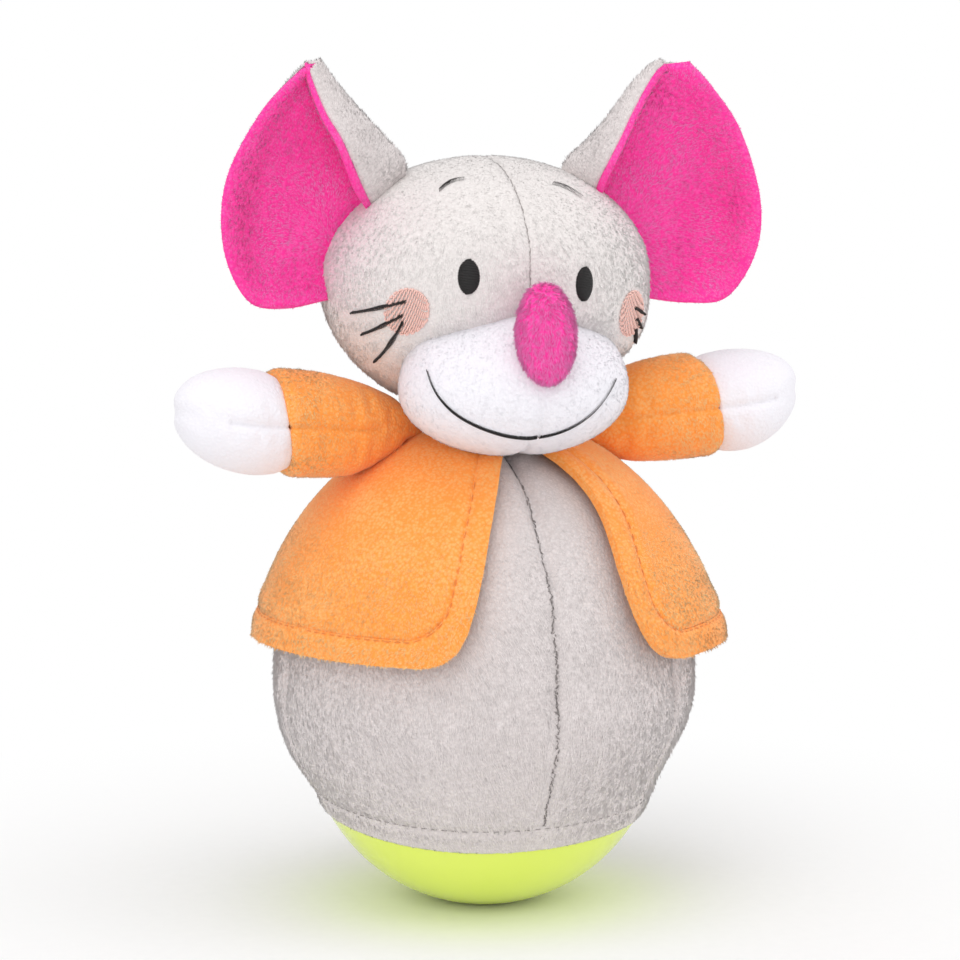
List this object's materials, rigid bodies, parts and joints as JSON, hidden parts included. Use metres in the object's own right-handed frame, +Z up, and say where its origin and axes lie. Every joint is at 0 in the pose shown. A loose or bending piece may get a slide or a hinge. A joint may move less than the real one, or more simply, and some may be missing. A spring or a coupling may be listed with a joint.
{
  "type": "plush roly-poly mouse",
  "caption": "Stuffed mouse in an open jacket on a weighted hard rocker base that rights itself, with hinged head, arms, ears and jacket fronts.",
  "frame": {"origin": "centre of the small flat under the rocker bowl, on the surface that the toy stands on", "axes": "+Z up, the toy faces -Y, its own left is +X"},
  "size_m": [0.166, 0.1133, 0.2096],
  "materials": {
    "lime_abs": "moulded, glossy",
    "natural_plastic": "moulded, plain",
    "cast_iron": "as cast",
    "steel": "bright drawn",
    "grey_plush": "short pile",
    "white_plush": "very short pile",
    "pink_plush": "short pile",
    "orange_plush": "short pile",
    "polyester_fibre": "loose filling",
    "elastic": "covered elastic",
    "black_thread": "satin stitch",
    "blush_thread": "satin stitch"
  },
  "bodies": {
    "body": {"base_bowl": "lime_abs", "capsule_dome": "natural_plastic", "ballast_weight": "cast_iron", "ballast_screw": "steel", "chime_base": "natural_plastic", "chime_rod_low": "steel", "chime_rod_high": "steel", "clapper_pin": "steel", "body_cover": "grey_plush", "body_stuffing": "polyester_fibre", "hem_elastic": "elastic", "jacket_back": "orange_plush"},
    "neck": {"neck_stuffing": "polyester_fibre"},
    "head": {"head_cover": "grey_plush", "head_stuffing": "polyester_fibre", "muzzle": "white_plush", "nose": "pink_plush", "eye_left": "black_thread", "eye_right": "black_thread", "brow_left": "black_thread", "brow_right": "black_thread", "cheek_left": "blush_thread", "cheek_right": "blush_thread", "whisker_upper_left": "black_thread", "whisker_middle_left": "black_thread", "whisker_lower_left": "black_thread", "whisker_upper_right": "black_thread", "whisker_middle_right": "black_thread", "whisker_lower_right": "black_thread", "mouth_left": "black_thread", "mouth_right": "black_thread"},
    "ear_left": {"ear_back_left": "grey_plush", "ear_lining_left": "pink_plush"},
    "ear_right": {"ear_back_right": "grey_plush", "ear_lining_right": "pink_plush"},
    "arm_left": {"sleeve_left": "orange_plush", "hand_left": "white_plush"},
    "arm_right": {"sleeve_right": "orange_plush", "hand_right": "white_plush"},
    "jacket_flap_left": {"jacket_front_left": "orange_plush"},
    "jacket_flap_right": {"jacket_front_right": "orange_plush"},
    "clapper": {"clapper": "natural_plastic"}
  },
  "joints": [
    {"name": "head_nod", "type": "hinge", "parent": "body", "child": "neck", "pos_m": [0, 0, 0.1206], "axis": [1, 0, 0], "range_deg": [-12, 2], "stiffness_Nm_per_rad": 0.3},
    {"name": "head_turn", "type": "hinge", "parent": "neck", "child": "head", "pos_m": [0, 0, 0.1206], "axis": [0, 0, 1], "range_deg": [-10, 18], "stiffness_Nm_per_rad": 0.1},
    {"name": "arm_left_hug", "type": "hinge", "parent": "body", "child": "arm_left", "pos_m": [0.03965, -0.002, 0.12095], "axis": [0, 0, -1], "range_deg": [-15, 30], "stiffness_Nm_per_rad": 0.03},
    {"name": "arm_right_hug", "type": "hinge", "parent": "body", "child": "arm_right", "pos_m": [-0.03965, -0.002, 0.12095], "axis": [0, 0, 1], "range_deg": [-15, 30], "stiffness_Nm_per_rad": 0.03},
    {"name": "ear_left_fold", "type": "hinge", "parent": "head", "child": "ear_left", "pos_m": [0.03923, -0.00929, 0.164], "axis": [0.3132, -0.034, -0.9491], "range_deg": [-15, 35], "stiffness_Nm_per_rad": 0.02},
    {"name": "ear_right_fold", "type": "hinge", "parent": "head", "child": "ear_right", "pos_m": [-0.04031, -0.00065, 0.164], "axis": [0.3132, -0.034, 0.9491], "range_deg": [-15, 35], "stiffness_Nm_per_rad": 0.02},
    {"name": "jacket_left_open", "type": "hinge", "parent": "body", "child": "jacket_flap_left", "pos_m": [0.05667, -0.01413, 0.09], "axis": [0, 0, 1], "range_deg": [0, 30], "stiffness_Nm_per_rad": 0.01},
    {"name": "jacket_right_open", "type": "hinge", "parent": "body", "child": "jacket_flap_right", "pos_m": [-0.05667, -0.01413, 0.09], "axis": [0, 0, -1], "range_deg": [0, 30], "stiffness_Nm_per_rad": 0.01},
    {"name": "clapper_swing", "type": "hinge", "parent": "body", "child": "clapper", "pos_m": [0, 0, 0.07958], "axis": [0, 1, 0], "range_deg": [-12, 12]}
  ]
}
